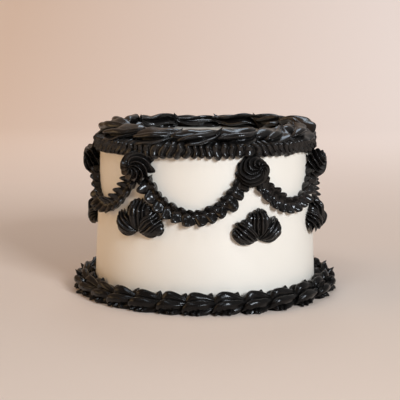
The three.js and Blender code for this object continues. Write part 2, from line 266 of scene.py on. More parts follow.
@dataclass
class Tier:
    """The cake under its smooth coat."""

    material: Material
    height: float = 113.8
    foot_radius: float = 82.9
    top_radius: float = 77.4
    edge_rounding: float = 1.6
    sink: float = 0.7
    sides: int = 240
    side_rings: int = 72
    top_rings: int = 30
    core_radius: float = 1.5
    foot_ring: float = 0.6
    unevenness: float = 0.16

    def radius(self, height: Array) -> Array:
        """Radius of the coat at a height."""
        return mix(self.foot_radius, self.top_radius, height / self.height)

    def on_side(self, azimuth: Array, height: float, along: Array, up: Array,
                proud: Array) -> Array:
        """Points on the side of the cake.

        Args:
            azimuth: Azimuth of a middle, in radians.
            height: Height of that middle.
            along: Distances along the side from the middle.
            up: Distances above it.
            proud: Distances out from the coat; what would be inside sinks only a little.

        Returns:
            The points.
        """
        level = height + up
        radius = self.radius(level)
        return around_axis(azimuth + along / radius, radius + np.maximum(proud, -self.sink), level)

    def outline(self) -> tuple[Array, Array]:
        """Radii and heights from the foot, up the side and over the top towards the middle."""
        side = np.linspace(0, self.height - self.edge_rounding, self.side_rings)
        corner = np.radians(np.linspace(15, 90, 6))
        flat = np.linspace(self.top_radius - self.edge_rounding, self.core_radius, self.top_rings)
        rounded = self.top_radius - self.edge_rounding * (1 - np.cos(corner))
        under = [self.core_radius, self.foot_radius * self.foot_ring]
        radii = np.concatenate([under, self.radius(side), rounded, flat[1:]])
        lift = self.height - self.edge_rounding * (1 - np.sin(corner))
        heights = np.concatenate([[0, 0], side, lift, np.full(len(flat) - 1, self.height)])
        return radii, heights

    def build(self) -> None:
        """The coat as one closed skin with the faint waves that a scraper leaves."""
        radii, heights = self.outline()
        angle = np.linspace(0, TURN, self.sides, endpoint=False)[None, :]
        level = heights[:, None]
        radius = radii[:, None]
        waves = np.sin(3 * angle + level / 19 + 0.7) + np.sin(7 * angle - level / 11 + 2.1)
        third = np.sin(13 * angle + level / 6.5) * np.cos(level / 8.3 + 5 * angle)
        waves = (waves + THIRD_WAVE * third) / (2 + THIRD_WAVE)
        on_the_side = (level > 0) & (radius > self.top_radius - self.edge_rounding * 1.01)
        swirl = np.sin(radius / 7 + 2 * angle) + 0.7 * np.sin(radius / 3.7 - 3 * angle + 1.2)
        on_top = (level >= self.height) & (radius < self.top_radius - self.edge_rounding)
        points = around_axis(
            angle,
            radius + np.where(on_the_side, waves * self.unevenness, 0),
            level - np.where(on_top, (1.7 + swirl) * self.unevenness / 2, 0),
        )
        marks = stack_marks(level / self.height, angle / TURN, np.ones_like(radius))
        top = np.array([0, 0, self.height - self.unevenness])
        skin = lofted(points, np.zeros(3), top, marks)
        make_piece("cake_body", [skin], self.material, Slot.COAT)


# ---- Strokes of a star tip

@dataclass(frozen=True)
class Stroke:
    """A piped shell in its own frame: along from the middle of the head, across, and up."""

    half_width: float
    half_height: float
    head_length: float
    bed: float
    lobes: int
    head_depth: float
    tail_depth: float
    lean: float
    lift: float
    taper: float
    roundness: float
    lobe_spread: float
    waves: float
    wave_length: float
    head_rows: int
    tail_rows: int
    lobe_columns: int
    tail_length: float = 0.0
    twist: float = 0.0
    sweep: float = 0.0
    curl: float = 2.0
    skew: float = 1.0
    roll: float = 0.0
    gather: float = 0.0
    fine_ridges: int = 3
    fine_depth: float = 0.0
    fine_from: float = -0.2
    squareness: float = 1.0
    head_cut: float = 0.0
    foot_flare: float = 0.0

    def varied(self, piece: int, spread: float) -> Stroke:
        """The same stroke for one piece, whose sizes differ by up to a share."""
        return replace(
            self,
            half_width=self.half_width * (1 + spread * float(uneven(piece, 1))),
            half_height=self.half_height * (1 + spread * float(uneven(piece, 2))),
            lift=self.lift * (1 + 3 * spread * float(uneven(piece, 3))),
            twist=self.twist + 4 * spread * float(uneven(piece, 4)),
        )

    def swell(self, station: Array, phase: Array, piece: int) -> tuple[Array, Array]:
        """How full the section is, and the height on its ridges.

        Args:
            station: -1 at the start under the head, 0 at its widest, 1 at the end of the tail.
            phase: Place across the lobes, one whole number a lobe.
            piece: Number of the piece.

        Returns:
            The share of the full section, and the height on the ridges from 0 to 1.
        """
        crest = ridge(phase, self.roundness, self.skew)
        depth = mix(self.head_depth, self.tail_depth, (station + 1) / 2)
        fuller = 1 + self.lobe_spread * uneven(piece, 30 + np.floor(phase)) * crest
        fine = ridge(phase * self.fine_ridges, 1.5)
        fine_depth = self.fine_depth * smooth_step(self.fine_from, 0.8, station)
        return (1 - depth * (1 - crest)) * fuller * (1 - fine_depth * (1 - fine)), crest

    def places(self, station: Array, phase: Array, piece: int) -> tuple[Array, ...]:
        """Where points of the stroke lie.

        Args:
            station: Their stations, as in swell.
            phase: Their places across the lobes.
            piece: Number of the piece.

        Returns:
            Along, across, up and the height on the ridges.
        """
        swell, crest = self.swell(station, phase, piece)
        roll = math.radians(self.roll)
        angle = TURN * (phase - self.twist * station) / self.lobes + roll
        angle = angle + self.gather * np.sin(angle)
        head = np.minimum(station, 0)
        tail = np.maximum(station, 0)
        polar = (1 + head) * math.pi / 2
        lean = -self.lean * head
        back = -np.cos(polar) ** self.squareness
        girth = np.sin(polar) ** self.squareness
        rise = girth * np.sin(angle)
        taper = np.cos(math.pi / 2 * tail ** self.taper)
        middle = TURN * (np.floor(phase) + 0.5) / self.lobes + roll
        cut = 1 - self.head_cut * smooth_step(0.3, 0.9, np.sin(middle))
        lifted = (back * np.sin(lean) + rise * np.cos(lean)) * swell * taper
        flare = 1 + self.foot_flare * crest ** 2.4 * smooth_step(0.45, -0.15, lifted)
        reach = (back * np.cos(lean) - rise * np.sin(lean)) * self.head_length * swell
        along = reach * cut * flare + self.tail_length * tail
        across = girth * np.cos(angle) * self.half_width * swell * taper * flare
        lifted = lifted * self.half_height
        soft = self.waves * wobble(along, across, lifted, piece, self.wave_length)
        across = across + self.sweep * tail ** self.curl + soft
        up = lifted + self.bed + self.lift * tail ** self.curl + 0.7 * soft
        return along, across, up, np.broadcast_to(crest, along.shape)

    def skin(self, place: Place, piece: int) -> Skin:
        """The stroke's closed skin, laid by a placing function.

        Args:
            place: Gives the points for along, across and up.
            piece: Number of the piece.

        Returns:
            The skin.
        """
        head = np.linspace(-1, 0, self.head_rows + 1)[1:]
        tail = np.linspace(0, 1, self.tail_rows + 1)[1:-1]
        station = np.concatenate([head, tail])[:, None]
        phase = phases(self.lobes, self.lobe_columns)
        along, across, up, crest = self.places(station, phase, piece)
        length = self.head_length + self.tail_length
        marks = stack_marks(along / length, phase / self.lobes, crest)
        ends = []
        for end in (-1.0, 1.0):
            spots = self.places(np.array([[end]]), np.array([[0.5]]), piece)
            ends.append(place(*spots[:3])[0, 0])
        return lofted(place(along, across, up), *ends, marks)


@dataclass(frozen=True)
class Peak:
    """A small pointed tip that the cream leaves where the tip of the bag is pulled away."""

    foot: tuple[float, float, float]
    tip: tuple[float, float, float]
    half_width: float
    bend: float
    bluntness: float = 0.62
    lobes: int = 4
    rows: int = 12
    lobe_columns: int = 6

    def skin(self, place: Place) -> Skin:
        """The peak's closed skin, laid by a placing function for along, across and up."""
        foot, tip = np.array(self.foot), np.array(self.tip)
        axis = (tip - foot) / np.linalg.norm(tip - foot)
        side = np.cross(axis, [0.31, 0.87, 0.38])
        side /= np.linalg.norm(side)
        other = np.cross(axis, side)
        share = np.linspace(0.02, 0.97, self.rows)[:, None]
        phase = phases(self.lobes, self.lobe_columns)
        angle = TURN * (phase + 0.7 * share) / self.lobes
        crest = ridge(phase, 1.6)
        radius = self.half_width * (1 - share) ** self.bluntness * (0.7 + 0.3 * crest)
        middle = foot + (tip - foot) * share[..., None]
        middle = middle + side * (self.bend * share ** 2 - self.bend * share)[..., None]
        spots = middle + side * (radius * np.cos(angle))[..., None]
        spots = spots + other * (radius * np.sin(angle))[..., None]
        rings = place(spots[..., 0], spots[..., 1], spots[..., 2])
        marks = stack_marks(share, phase / self.lobes, crest)
        return lofted(rings, place(*foot), place(*tip), marks)


# ---- Borders of shells

@dataclass
class Border:
    """A ring of shells that lap over each other."""

    tier: Tier
    material: Material
    family: str
    count: int
    front: Floats
    ring_radius: float
    stroke: Stroke
    tail_gap: float
    spread: float
    first_number: int
    fullness: Floats = ()
    twists: Floats = ()

    def azimuths(self) -> Array:
        """Azimuths of the heads in radians: the front as it was piped, the rest evenly."""
        gaps = self.count - len(self.front) + 1
        pitch = (self.front[0] + 360 - self.front[-1]) / gaps
        rest = [self.front[-1] + pitch * (index + 1) for index in range(gaps - 1)]
        return np.radians([*self.front, *rest])

    def place(self, azimuth: float) -> Place:
        """The placing function of the shell whose head is at an azimuth in radians."""
        raise NotImplementedError

    def peaks(self, number: int, stroke: Stroke) -> Iterable[Peak]:
        """The pointed tips of one shell."""
        raise NotImplementedError

    def skins(self) -> Iterable[list[Skin]]:
        """The skins of each shell, whose tail ends near the head that follows."""
        azimuths = self.azimuths()
        gaps = np.diff(azimuths, append=azimuths[0] + TURN) * self.ring_radius
        for index, azimuth in enumerate(azimuths):
            number = index + self.first_number
            full = self.fullness[index] if index < len(self.fullness) else 1.0
            twist = self.twists[index] if index < len(self.twists) else self.stroke.twist
            longer = replace(
                self.stroke, tail_length=float(gaps[index]) - self.tail_gap,
                half_height=self.stroke.half_height * full, twist=twist,
            )
            stroke = longer.varied(number, self.spread)
            place = self.place(float(azimuth))
            peaks = [peak.skin(place) for peak in self.peaks(number, stroke)]
            yield [stroke.skin(place, number), *peaks]

    def build(self) -> None:
        """All the shells of the border."""
        make_family(self.family, self.skins(), self.material)


@dataclass
class TopBorder(Border):
    """The big scroll-like shells on the rim of the top."""

    family: str = "top_shell"
    count: int = 13
    front: Floats = (-62, -34, -7.5, 16.5, 39.5, 63)
    ring_radius: float = 69.2
    raised: float = 0.3
    droop: float = 0.12
    least_tip: float = 1.6
    stroke: Stroke = Stroke(
        half_width=13.6, half_height=5.9, head_length=13.8, bed=3.7, lobes=5, head_depth=0.56,
        tail_depth=0.52, lean=0.6, twist=-0.75, lift=4.6, taper=1.75, sweep=-7.0, curl=3.0,
        roundness=1.9, skew=1.6, lobe_spread=0.18, fine_ridges=2, fine_depth=0.3, fine_from=0.45,
        waves=1.3, wave_length=24, head_rows=22, tail_rows=44, lobe_columns=20,
    )
    tail_gap: float = 6.5
    spread: float = 0.07
    fullness: Floats = (
        1.06, 1.08, 1.0, 1.04, 1.0, 1.2, 1.45, 1.45, 1.1, 0.96, 1.12, 1.36, 1.4,
    )
    twists: Floats = (-0.75, -0.35, -0.45, 0.2, -0.85, -0.7)
    first_number: int = 1

    def place(self, azimuth: float) -> Place:
        """The placing function of a shell on the top."""
        bed = self.tier.height + self.raised
        ring = self.ring_radius

        def lay(along: Array, across: Array, up: Array) -> Array:
            height = np.maximum(bed + up - self.droop * across, self.tier.height - self.tier.sink)
            return around_axis(azimuth + along / ring, ring + across, height)

        return lay

    def peaks(self, number: int, stroke: Stroke) -> Iterable[Peak]:
        """A blunt tip that is left where the tail of about half of the shells ends."""
        height = stroke.lift + 2.0 + 1.4 * float(uneven(number, 61))
        if height < self.least_tip + stroke.lift:
            return []
        reach = stroke.tail_length * 0.86
        foot = (reach - 3.0, stroke.sweep * 0.45, stroke.bed + stroke.lift * 0.3)
        tip = (reach + 2.5, stroke.sweep * 0.8 + 2 * float(uneven(number, 62)), stroke.bed + height)
        return [Peak(foot, tip, half_width=3.4, bend=1.6, bluntness=1.0, lobes=3)]


@dataclass
class FootBorder(Border):
    """The shells round the foot, lying on their bed against the side."""

    family: str = "base_shell"
    count: int = 26
    front: Floats = (-53, -40.5, -28.5, -15.5, -4.5, 8, 21, 33.5, 48.5, 64)
    ring_radius: float = 90.2
    stroke: Stroke = Stroke(
        half_width=8.9, half_height=9.2, head_length=10.4, bed=6.0, lobes=6, head_depth=0.46,
        tail_depth=0.46, lean=0.6, twist=-0.1, lift=1.2, taper=0.95, roundness=2.1, skew=1.2,
        lobe_spread=0.08, roll=-24, gather=0.34, fine_depth=0.18, squareness=0.75, head_cut=0.36,
        waves=0.4, wave_length=13, head_rows=18, tail_rows=28, lobe_columns=14,
    )
    tail_gap: float = 0.5
    spread: float = 0.05
    first_number: int = 101
    curls: Floats = (-4.6, 0.4, 4.2)
    curl_reach: float = 8.3
    spiky_from: float = 0.8

    def place(self, azimuth: float) -> Place:
        """The placing function of a shell at the foot."""

        def lay(along: Array, across: Array, up: Array) -> Array:
            height = np.maximum(up, 0)
            inner = self.tier.radius(height) - self.tier.sink
            radius = np.maximum(self.ring_radius + across, inner)
            return around_axis(azimuth + along / self.ring_radius, radius, height)

        return lay

    def peaks(self, number: int, stroke: Stroke) -> Iterable[Peak]:
        """The ear that stands against the side over the tail, and the small curls at the floor."""
        height = 14.0 + 0.9 * float(uneven(number, 63))
        reach = stroke.tail_length * 0.56
        foot = (reach - 2.5, -4.0, 6.0)
        tip = (reach + 1.5 * float(uneven(number, 64)), -5.6, height)
        found = [Peak(foot, tip, half_width=5.2, bend=0.8)]
        for index, spot in enumerate(self.curls):
            slip = float(uneven(number, 65 + index))
            end = (spot - 1.5 + 2.4 * slip, self.curl_reach - 0.9 * slip, 1.2 + 0.5 * slip)
            girth = 2.1 + 0.5 * float(uneven(number, 68 + index))
            found.append(Peak((spot, 3.4, 2.6), end, half_width=girth, bend=1.4, bluntness=0.42))
        azimuth = float(self.azimuths()[number - self.first_number])
        if abs(math.sin(azimuth)) > self.spiky_from:
            slip = float(uneven(number, 71))
            found += [
                Peak((-4.0, 3.0, 8.0), (-6.5 + 3 * slip, 7.6, 13 + slip), 3.0, 1.2, 0.9),
                Peak((3.5, 3.0, 6.0), (5.5, 7.9 + 0.4 * slip, 9.5 - 2 * slip), 2.6, -1.0, 0.8),
            ]
        return found


# ---- Rosettes

@dataclass
class Rosettes:
    """Swirls on the side, whose ridges wind in to a middle a little off the centre."""

    tier: Tier
    material: Material
    azimuths: Floats = (-35.5, 22.9, 75, 140, 206, 271)
    heights: Floats = (98.6, 95.9, 95.4, 96.6, 96.2, 96.3)
    shifts: tuple[Range, ...] = (
        (0.2, 0.6), (2.6, 3.4), (2.4, 1.8), (1.6, 2.6), (2.9, 1.4), (1.8, 2.0),
    )
    radius: float = 11.4
    depth: float = 13.0
    turns: Floats = (0.36, 0.5, 0.45, 0.4, 0.5, 0.42)
    flares: Floats = (0.14, 0.04, 0.1, 0.06, 0.08, 0.12)
    ridges: int = 9
    groove: float = 0.42
    roundness: float = 1.2
    skew: float = 1.15
    radius_spread: float = 0.04
    spread: float = 0.05
    softness: float = 0.35
    soft_length: float = 12
    last_climb: float = 0.985
    rows: int = 56
    ridge_columns: int = 16

    def skin(self, index: int) -> Skin:
        """The swirl of one rosette."""
        azimuth = math.radians(self.azimuths[index])
        radius = self.radius * (1 + self.radius_spread * float(uneven(index, 11)))
        depth = self.depth * (1 + self.spread * float(uneven(index, 12)))
        climb = np.linspace(0, self.last_climb, self.rows)[:, None]
        phase = phases(self.ridges, self.ridge_columns)
        number = np.floor(phase)
        crest = ridge(phase, self.roundness, self.skew)
        groove = self.groove * (1 - 0.35 * climb)
        swell = 1 - groove * (1 - crest)
        swell = swell * (1 + self.spread * uneven(index, 40 + number) * crest * (1 - climb))
        angle = TURN * (phase / self.ridges + self.turns[index] * climb ** 0.85)
        flare = 1 + self.flares[index] * crest ** 2 * smooth_step(0.14, 0.02, climb)
        reach = radius * np.cos(climb * math.pi / 2) ** 0.6 * swell * flare
        proud = depth * np.sin(climb * math.pi / 2) ** 0.75 * (0.25 + 0.75 * swell) - 0.4
        along = reach * np.cos(angle)
        up = reach * np.sin(angle)
        soft = self.softness * wobble(along, up, proud, index + 70, self.soft_length)
        along = along + self.shifts[index][0] * climb ** 2 + soft
        up = up + self.shifts[index][1] * climb ** 2 + soft
        rings = self.tier.on_side(azimuth, self.heights[index], along, up, proud)
        marks = stack_marks(climb, phase / self.ridges, crest)
        back = self.tier.on_side(azimuth, self.heights[index], 0.0, 0.0, -self.tier.sink)
        return lofted(rings, back, rings[-1].mean(axis=0), marks)

    def build(self) -> None:
        """All six rosettes."""
        skins = [[self.skin(index)] for index in range(len(self.azimuths))]
        make_family("rosette", skins, self.material)


# ---- Fleurs

@dataclass
class Fleurs:
    """Three small shells fanned out below each rosette."""

    tier: Tier
    rosettes: Rosettes
    material: Material
    offsets: Floats = (1.3, 3.1, 2, 0.5, -1, -6)
    heights: Floats = (53.5, 48.6, 47.6, 48.5, 48, 49.5)
    scales: Floats = (0.97, 1, 1.03, 1, 1, 0.82)
    directions: Floats = (146, 92, 33)
    tails: Floats = (12.9, 14.4, 12.9)
    twists: Floats = (-0.9, 0.2, 0.9)
    flares: Floats = (0.62, 0.26, 0.4, 0.4, 0.3, 0.45)
    lobe: Stroke = Stroke(
        half_width=6.9, half_height=6.6, head_length=6.2, bed=3.6, lobes=12, head_depth=0.58,
        tail_depth=0.46, lean=1.2, lift=-1.2, taper=1.8, roundness=1.5, lobe_spread=0.12, roll=18,
        waves=0.35, wave_length=11, head_rows=18, tail_rows=22, lobe_columns=7,
    )
    spread: float = 0.06
    heading_spread: float = 5

    def place(self, index: int, heading: float, tail_length: float) -> Place:
        """The placing function of a lobe that points along a heading in radians."""
        azimuth = math.radians(self.rosettes.azimuths[index] + self.offsets[index])
        scale = self.scales[index]

        def lay(along: Array, across: Array, proud: Array) -> Array:
            reach = tail_length - along
            side = reach * math.cos(heading) + across * math.sin(heading)
            up = reach * math.sin(heading) - across * math.cos(heading)
            return self.tier.on_side(
                azimuth, self.heights[index], side * scale, up * scale, proud * scale,
            )

        return lay

    def skins(self, index: int) -> list[Skin]:
        """The three lobes of one fleur."""
        skins = []
        for lobe, direction in enumerate(self.directions):
            number = index * len(self.directions) + lobe
            longer = replace(
                self.lobe, tail_length=self.tails[lobe], foot_flare=self.flares[index],
                twist=self.twists[lobe],
            )
            stroke = longer.varied(number, self.spread)
            turned = self.heading_spread * float(uneven(index, lobe + 6))
            place = self.place(index, math.radians(direction + turned), stroke.tail_length)
            skins.append(stroke.skin(place, number))
        return skins

    def build(self) -> None:
        """All six fleurs."""
        make_family("fleur", map(self.skins, range(len(self.offsets))), self.material)


# ---- Swags

@dataclass
class Swags:
    """Garlands of leaf-tip ruffles in two rows, hung between neighbouring rosettes."""

    tier: Tier
    rosettes: Rosettes
    material: Material
    lows: Floats = (66, 70.2, 67, 66.8, 66.4, 67.8)
    slants: Floats = (0.7, 0.8, -0.3, 0.5, 0.2, 0.4)
    end_slants: Floats = (0.1, -0.2, 0.2, 0.1, -0.3, 0.1)
    flap_edge: float = 0.1
    flap_share: float = 0.85
    undercut: float = 0.3
    upper_pace: float = 1.12
    upper_scallop: float = 0.5
    lower_scallop: float = 0.36
    lower_widening: float = 1.2
    spread: float = 0.14
    softness: float = 0.3
    soft_length: float = 13
    line_points: int = 400
    end_height: float = 91
    end_inset: float = 6.2
    half_width: float = 6.5
    depth: float = 6.8
    crease: float = 0.3
    ruffle: float = 7.4
    chevron: float = 0.12
    ruffle_rows: int = 16
    columns: int = 44

    def line(self, start: float, end: float, low: float, place: Array) -> tuple[Array, Array]:
        """Azimuths in radians and heights of a swag's middle line, at places from -1 to 1."""
        rise = 0.75 * place ** 2 + 0.25 * place ** 4
        return mix(start, end, (place + 1) / 2), mix(low, self.end_height, rise)

    def skin(self, index: int) -> Skin:
        """One swag as a single folded skin."""
        following = (index + 1) % len(self.lows)
        inset = self.end_inset / self.tier.top_radius
        start = math.radians(self.rosettes.azimuths[index]) + inset
        end = math.radians(self.rosettes.azimuths[following]) - inset
        end += TURN if following == 0 else 0.0
        fine = np.linspace(-1, 1, self.line_points)
        azimuth, height = self.line(start, end, self.lows[index], fine)
        steps = np.hypot(np.diff(azimuth) * self.tier.radius(height[:-1]), np.diff(height))
        length = np.concatenate([[0], np.cumsum(steps)])
        ruffles = round(length[-1] / self.ruffle)
        rows = ruffles * self.ruffle_rows + 1
        share = np.linspace(0, 1, rows)
        travelled = share * length[-1]
        place = np.interp(travelled, length, fine)
        azimuth, height = self.line(start, end, self.lows[index], place)
        run = np.gradient(azimuth) * self.tier.radius(height)
        slope = np.arctan2(np.gradient(height), run)[:, None]
        turn = TURN * (np.arange(self.columns) / self.columns)[None, :]
        spread = np.cos(turn)
        front = np.sin(turn)
        across = np.sign(spread) * np.abs(spread) ** 0.85
        away = np.abs(across)
        below = across < 0
        slant = mix(self.slants[index], self.end_slants[index], share)[:, None]
        phase = share[:, None] * ruffles * np.where(below, 1.0, self.upper_pace)
        phase = phase + self.chevron * away + slant * across + np.where(below, 0.0, 0.5)
        phase = phase + 0.12 * np.sin(phase * 1.7 + index)
        fold = ridge(phase, 2.1, 0.85)
        number = np.floor(phase) + index * 40
        within = phase - np.floor(phase)
        fuller = 1 + self.spread * uneven(number, 15 + np.where(below, 1.0, 0.0))
        width = self.half_width * np.where(below, self.lower_widening, 1.0)
        flap = np.minimum(within / self.flap_edge, 1) * (1 - 0.8 * within ** 1.4)
        outline = mix(fold, flap, np.where(below, self.flap_share, 0.3))
        undercut = 1 - self.undercut * smooth_step(0.86, 1, away)
        scallop = np.where(below, self.lower_scallop, self.upper_scallop)
        reach = across * width * (1.06 - scallop * (1 - outline)) * fuller * undercut
        body = self.crease + (1 - self.crease) * smooth_step(0, 0.8, away)
        edge = np.sqrt(1 - np.clip((away - 0.7) / 0.3, 0, 1) ** 2.4)
        ends = smooth_step(0, 0.03, share)[:, None] * smooth_step(1, 0.97, share)[:, None]
        proud = self.depth * body * edge * (0.22 + 0.78 * fold) * fuller * ends
        proud = np.where(front > 0, proud, -self.tier.sink)
        soft = wobble(travelled[:, None], reach, proud, index + 90, self.soft_length)
        soft = self.softness * soft
        rings = self.tier.on_side(
            azimuth[:, None], height[:, None], -(reach + soft) * np.sin(slope),
            (reach + soft) * np.cos(slope), proud,
        )
        marks = stack_marks(phase / ruffles, across * 0.5 + 0.5, fold)
        return lofted(rings, rings[0].mean(axis=0), rings[-1].mean(axis=0), marks)

    def build(self) -> None:
        """All six swags."""
        skins = [[self.skin(index)] for index in range(len(self.lows))]
        make_family("swag", skins, self.material)


# ---- The ruffle under the top edge

@dataclass
class TopRuffle:
    """A close zigzag of piping that runs right round under the top edge."""

    tier: Tier
    material: Material
    waves: int = 94
    bottom: float = 104.4
    top: float = 116.4
    outer_radius: float = 84.0
    groove: float = 3.6
    fine_groove: float = 1.8
    drop: float = 2.2
    slant: float = 1.4
    knob: float = 1.3
    overlap: float = 3.4
    fullness_spread: float = 0.35
    length_spread: float = 0.4
    wave_rows: int = 16
    columns: int = 40

    def build(self) -> None:
        """The ruffle as one closed loop."""
        rows = self.waves * self.wave_rows
        share = (np.arange(rows) / rows)[:, None]
        angle = TURN * share
        across = (np.arange(self.columns) / self.columns)[None, :]
        turn = TURN * across
        upward = -np.cos(turn)
        outward = np.sin(turn)
        side = np.sin(angle)
        slant = self.slant * side
        phase = share * self.waves + 0.2 * np.sin(9 * angle) + 0.1 * np.sin(23 * angle + 1)
        phase = phase + slant * upward * 0.5 + 0.16 * np.sin(3 * upward + 11 * angle)
        hump = ridge(phase, 2.2)
        number = np.floor(phase) % self.waves
        fuller = 1 + self.fullness_spread * uneven(number, 21)
        longer = 1 + self.length_spread * uneven(number, 22)
        fine = (1 - ridge(phase * 2, 1.7)) * smooth_step(0.3, 0.8, np.abs(side))
        inner = self.tier.radius(self.bottom) - self.tier.sink
        thick = self.outer_radius - inner
        knobs = self.knob * np.cos(3 * upward + 0.4 * uneven(number, 23) + math.pi)
        proud = thick * np.maximum(outward, 0) ** 0.62
        relief = self.groove * (1 - hump) + self.fine_groove * fine * hump - knobs * hump
        relief = relief + 0.9 * (1 - fuller)
        radius = inner + np.maximum(proud - relief * np.maximum(outward, 0) ** 0.5, -0.2)
        radius = np.where(outward > 0, radius, inner) - self.overlap * smooth_step(0.55, 1, upward)
        height = mix(self.bottom, self.top, (upward + 1) / 2)
        height = height + self.drop * (1 - hump * longer) * np.maximum(-upward, 0)
        height = height - 0.5 * self.drop * (1 - hump) * np.maximum(upward, 0)
        rings = around_axis(angle, radius, height)
        marks = stack_marks(upward * 0.5 + 0.5, phase / self.waves, hump)
        make_piece("top_ruffle", [looped(rings, marks)], self.material, Slot.PIPING)


# ---- Finishes

def fill(node: Node, inputs: dict[str | int, object]) -> None:
    """Sets inputs of a node, by name or number, or links those that are given a socket."""
    for name, value in inputs.items():
        if isinstance(value, NodeSocket):
            node.id_data.links.new(value, node.inputs[name])
        else:
            node.inputs[name].default_value = value


def add_node(tree: NodeTree, kind: str, inputs: dict[str | int, object] | None = None,
             **settings: object) -> Node:
    """A new shader node.

    Args:
        tree: The tree that holds it.
        kind: Its type, without ShaderNode in front.
        inputs: A value, or a socket to link, for inputs by name or number.
        settings: The node's own settings.

    Returns:
        The node.
    """
    node = tree.nodes.new(f"ShaderNode{kind}")
    for name, value in settings.items():
        setattr(node, name, value)
    fill(node, inputs or {})
    return node


def calculated(tree: NodeTree, operation: str, *values: object, **settings: object) -> NodeSocket:
    """The result of a math node on numbers and sockets."""
    inputs = dict(enumerate(values))
    return add_node(tree, "Math", inputs, operation=operation, **settings).outputs[0]


def blended(tree: NodeTree, factor: object, first: object, second: object,
            blend: str = "MIX") -> NodeSocket:
    """The colour that two colours make."""
    inputs = {"Factor": factor, "A": first, "B": second}
    return add_node(tree, "Mix", inputs, data_type="RGBA", blend_type=blend).outputs["Result"]


def ranged(tree: NodeTree, value: NodeSocket, start: Range,
           end: Range = (0.0, 1.0), pace: str = "LINEAR") -> NodeSocket:
    """A value moved from one range to another."""
    ends = zip(("From Min", "From Max", "To Min", "To Max"), (*start, *end))
    inputs = {"Value": value, **dict(ends)}
    return add_node(tree, "MapRange", inputs, interpolation_type=pace).outputs["Result"]


def new_group(name: str, inputs: dict[str, str],
              outputs: dict[str, str]) -> tuple[NodeTree, bpy.types.bpy_prop_collection, Node]:
    """An empty shader node group with named sockets.

    Args:
        name: Name of the group.
        inputs: Kind of each input.
        outputs: Kind of each output.

    Returns:
        The group, the sockets that give its inputs, and its output node.
    """
    group = bpy.data.node_groups.new(name, "ShaderNodeTree")
    for side, sockets in (("INPUT", inputs), ("OUTPUT", outputs)):
        for label, kind in sockets.items():
            group.interface.new_socket(label, in_out=side, socket_type=f"NodeSocket{kind}")
    return group, group.nodes.new("NodeGroupInput").outputs, group.nodes.new("NodeGroupOutput")


def mottle_group() -> NodeTree:
    """Group that mixes two colours in soft clouds, and gives the clouds as a mask."""
    group, given, result = new_group(
        "Cream Mottle", {"Scale": "Float", "Contrast": "Float", "Light": "Color", "Dark": "Color"},
        {"Color": "Color", "Mask": "Float"},
    )
    clouds = add_node(group, "TexNoise", {
        "Vector": add_node(group, "TexCoord").outputs["Object"], "Scale": given["Scale"],
        "Detail": 4.0, "Roughness": 0.55,
    })
    centred = calculated(group, "SUBTRACT", clouds.outputs[0], 0.5)
    scaled = calculated(group, "MULTIPLY", centred, given["Contrast"])
    mask = calculated(group, "ADD", scaled, 0.5, use_clamp=True)
    fill(result, {"Color": blended(group, mask, given["Dark"], given["Light"]), "Mask": mask})
    return group


def grain_group() -> NodeTree:
    """Group that gives the height of fine grain and of long drag marks of a tip or scraper."""
    group, given, result = new_group(
        "Cream Grain",
        {"Vector": "Vector", "Grain Scale": "Float", "Drag Scale": "Float", "Drag": "Float"},
        {"Height": "Float"},
    )
    grain = add_node(group, "TexNoise", {
        "Vector": add_node(group, "TexCoord").outputs["Object"], "Scale": given["Grain Scale"],
        "Detail": 3.0,
    })
    drag = add_node(group, "TexNoise", {
        "Vector": given["Vector"], "Scale": given["Drag Scale"], "Detail": 2.0,
    })
    dragged = calculated(group, "MULTIPLY", drag.outputs[0], given["Drag"])
    fill(result, {"Height": calculated(group, "ADD", grain.outputs[0], dragged)})
    return group


@dataclass(frozen=True)
class Effects:
    """The node groups that the finishes share."""

    mottle: NodeTree
    grain: NodeTree


@dataclass(frozen=True)
class CreamFinish:
    """Buttercream that is mottled in colour, a little uneven in gloss and finely grained, with
    painted shade that darkens its grooves.
    """

    name: str
    light: Colour
    dark: Colour
    mottle_scale: float
    contrast: float
    roughness: Range
    grain_scale: float
    drag_stretch: tuple[float, float, float]
    drag_scale: float
    drag: float
    bump: float
    specular: float
    # Painted shade: the share of the colour left in the grooves, and the crest height by which it
    # fades out.
    painted_groove_shade: float = 0.55
    painted_shade_fade: float = 0.6
    grain_height: float = 0.0002

    def build(self, effects: Effects) -> Material:
        """The material.

        Args:
            effects: The shared node groups.

        Returns:
            The finished material.
        """
        material = bpy.data.materials.new(self.name)
        material.use_nodes = True
        tree = material.node_tree
        marks = add_node(tree, "Attribute", attribute_name=STROKE_MARKS).outputs["Vector"]
        crest = add_node(tree, "SeparateXYZ", {0: marks}).outputs["Z"]
        # Painted shade: the base colour is darkened in the grooves between ridges and kept as it is
        # on the crests.
        shade = ranged(tree, crest, (0.0, self.painted_shade_fade), (self.painted_groove_shade, 1.0))
        mottle = add_node(tree, "Group", {
            "Scale": self.mottle_scale, "Contrast": self.contrast,
            "Light": (*self.light, 1), "Dark": (*self.dark, 1),
        }, node_tree=effects.mottle).outputs
        drag = add_node(tree, "VectorMath", {0: marks, 1: self.drag_stretch}, operation="MULTIPLY")
        grain = add_node(tree, "Group", {
            "Vector": drag.outputs[0], "Grain Scale": self.grain_scale,
            "Drag Scale": self.drag_scale, "Drag": self.drag,
        }, node_tree=effects.grain)
        bump = add_node(tree, "Bump", {
            "Strength": self.bump, "Distance": self.grain_height, "Height": grain.outputs["Height"],
        })
        fill(tree.nodes["Principled BSDF"], {
            "Base Color": blended(tree, 1.0, mottle["Color"], shade, "MULTIPLY"),
            "Roughness": ranged(tree, mottle["Mask"], (0.3, 0.7), self.roughness),
            "Specular IOR Level": self.specular, "Normal": bump.outputs["Normal"],
        })
        return material


